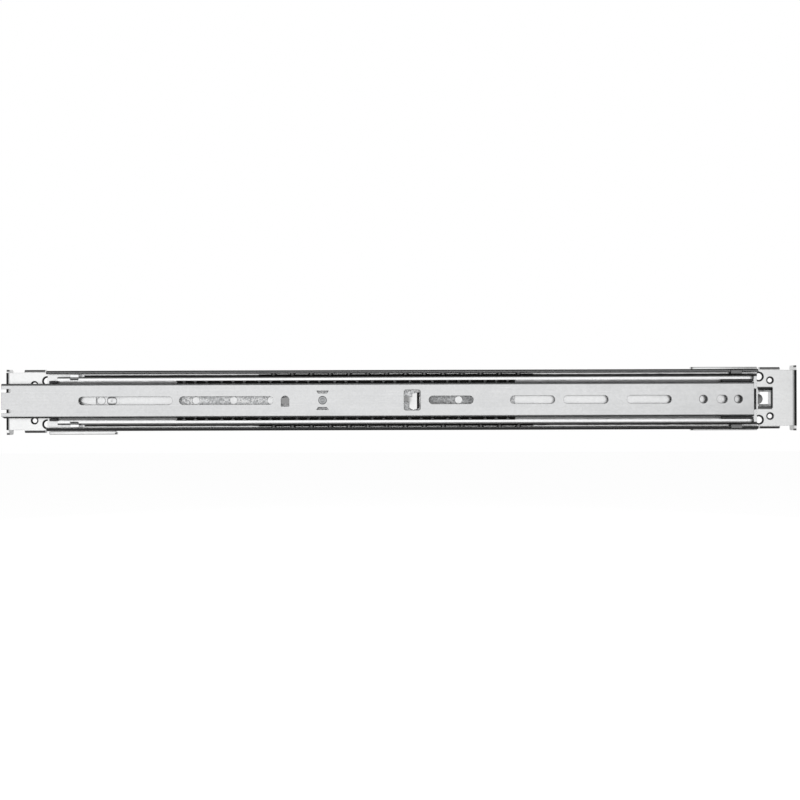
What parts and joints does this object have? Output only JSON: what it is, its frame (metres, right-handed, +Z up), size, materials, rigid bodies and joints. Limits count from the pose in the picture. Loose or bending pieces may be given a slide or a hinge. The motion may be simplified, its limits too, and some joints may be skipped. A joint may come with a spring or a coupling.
{
  "type": "server rack slide rail",
  "caption": "Ball-bearing telescopic rack rail: nested steel channels on caged ball rows, a bent bracket for each rack post, rubber stops and a sprung release lever.",
  "frame": {"origin": "centre of the front bracket's post-hole pattern, on the flange face that meets the front rack post", "axes": "+X to the rear of the rack, +Z up, server on the -Y side"},
  "size_m": [0.7122, 0.0351, 0.0606],
  "materials": {
    "rolled_steel": "bright zinc-plated, rolled",
    "bracket_steel": "bright zinc-plated, stamped",
    "cage_steel": "matt galvanised",
    "ball_steel": "polished",
    "lever_steel": "zinc-plated",
    "rivet_steel": "zinc-plated, formed",
    "black_nylon": "moulded",
    "black_rubber": "moulded"
  },
  "bodies": {
    "rack_side": {"outer_member": "rolled_steel", "front_bracket": "bracket_steel", "rear_bracket": "bracket_steel", "front_bracket_rivets": "rivet_steel", "rear_bracket_rivets": "rivet_steel", "rear_bumper": "black_rubber"},
    "outer_ball_cage": {"outer_cage": "cage_steel", "outer_balls_upper": "ball_steel", "outer_balls_lower": "ball_steel"},
    "middle": {"middle_member": "rolled_steel", "front_buffer_upper": "black_nylon", "front_buffer_lower": "black_nylon", "rear_guide_upper": "black_nylon", "rear_guide_lower": "black_nylon"},
    "inner_ball_cage": {"inner_cage": "cage_steel", "inner_balls_upper": "ball_steel", "inner_balls_lower": "ball_steel"},
    "server_side": {"inner_member": "rolled_steel", "lever_rivet": "rivet_steel"},
    "lever": {"release_lever": "lever_steel"}
  },
  "joints": [
    {"name": "middle_slide", "type": "slide", "parent": "rack_side", "child": "middle", "axis": [-1, 0, 0], "range_m": [0, 0.372]},
    {"name": "outer_cage_slide", "type": "slide", "parent": "rack_side", "child": "outer_ball_cage", "axis": [-1, 0, 0], "range_m": [0, 0.186]},
    {"name": "inner_slide", "type": "slide", "parent": "middle", "child": "server_side", "axis": [-1, 0, 0], "range_m": [0, 0.21]},
    {"name": "inner_cage_slide", "type": "slide", "parent": "middle", "child": "inner_ball_cage", "axis": [-1, 0, 0], "range_m": [0, 0.105]},
    {"name": "lever_pivot", "type": "hinge", "parent": "server_side", "child": "lever", "pos_m": [0.2852, -0.0204, 0], "axis": [0, -1, 0], "range_deg": [0, 3.5], "stiffness_Nm_per_rad": 0.3, "springref_deg": -5.73}
  ],
  "couplings": [
    {"joint": "outer_cage_slide", "follows": "middle_slide", "ratio": 0.5},
    {"joint": "inner_cage_slide", "follows": "inner_slide", "ratio": 0.5}
  ]
}
